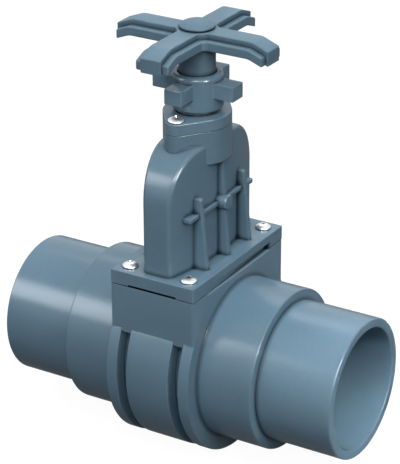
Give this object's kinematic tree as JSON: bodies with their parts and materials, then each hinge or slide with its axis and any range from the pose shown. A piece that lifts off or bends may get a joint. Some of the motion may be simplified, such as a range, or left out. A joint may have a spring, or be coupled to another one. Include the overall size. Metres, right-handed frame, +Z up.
{
  "type": "slide valve",
  "caption": "In-line plastic slide valve: two pipe sockets, ribbed arched bonnet, gland nut with lugs and a cross handle that lifts a flat gate.",
  "frame": {"origin": "under the middle of the valve, level with the lowest point of the drum", "axes": "+X along the pipe axis to the right socket, +Z up along the stem to the handle, Y across the pipe"},
  "size_m": [0.192, 0.1006, 0.2272],
  "materials": {
    "pvc": "semi-gloss moulded",
    "acetal": "matte moulded",
    "rubber": "matte",
    "steel": "bright turned",
    "brass": "turned"
  },
  "bodies": {
    "housing": {"body": "pvc", "left_socket": "pvc", "right_socket": "pvc", "left_seat_ring": "acetal", "right_seat_ring": "acetal", "left_seat_seal": "rubber", "right_seat_seal": "rubber", "bonnet_gasket": "rubber", "bonnet": "pvc", "bonnet_screws": "steel", "bonnet_inserts": "brass", "stem_bush": "acetal", "thrust_washer": "acetal", "gland_flange": "pvc", "gland_oring": "rubber", "gland_screws": "steel", "gland_inserts": "brass", "packing_rings": "rubber"},
    "follower": {"gland_follower": "acetal"},
    "gland": {"gland_nut": "pvc"},
    "spindle": {"stem": "steel", "handle": "pvc", "handle_washer": "steel", "handle_screw": "steel", "handle_cap": "pvc"},
    "gate": {"gate": "pvc", "stem_nut": "brass", "nut_retainer": "steel"}
  },
  "joints": [
    {"name": "handle_turn", "type": "hinge", "parent": "housing", "child": "spindle", "pos_m": [0, 0, 0.0503], "axis": [0, 0, 1], "range_deg": [0, 2475]},
    {"name": "gate_lift", "type": "slide", "parent": "housing", "child": "gate", "axis": [0, 0, 1], "range_m": [0, 0.0551]},
    {"name": "gland_turn", "type": "hinge", "parent": "follower", "child": "gland", "pos_m": [0, 0, 0.0503], "axis": [0, 0, 1], "range_deg": [0, 180]},
    {"name": "gland_travel", "type": "slide", "parent": "housing", "child": "follower", "axis": [0, 0, 1], "range_m": [0, 0.001]}
  ],
  "couplings": [
    {"joint": "gate_lift", "follows": "handle_turn", "m_per_rad": 0.0012732},
    {"joint": "gland_travel", "follows": "gland_turn", "m_per_rad": 0.00031831}
  ]
}
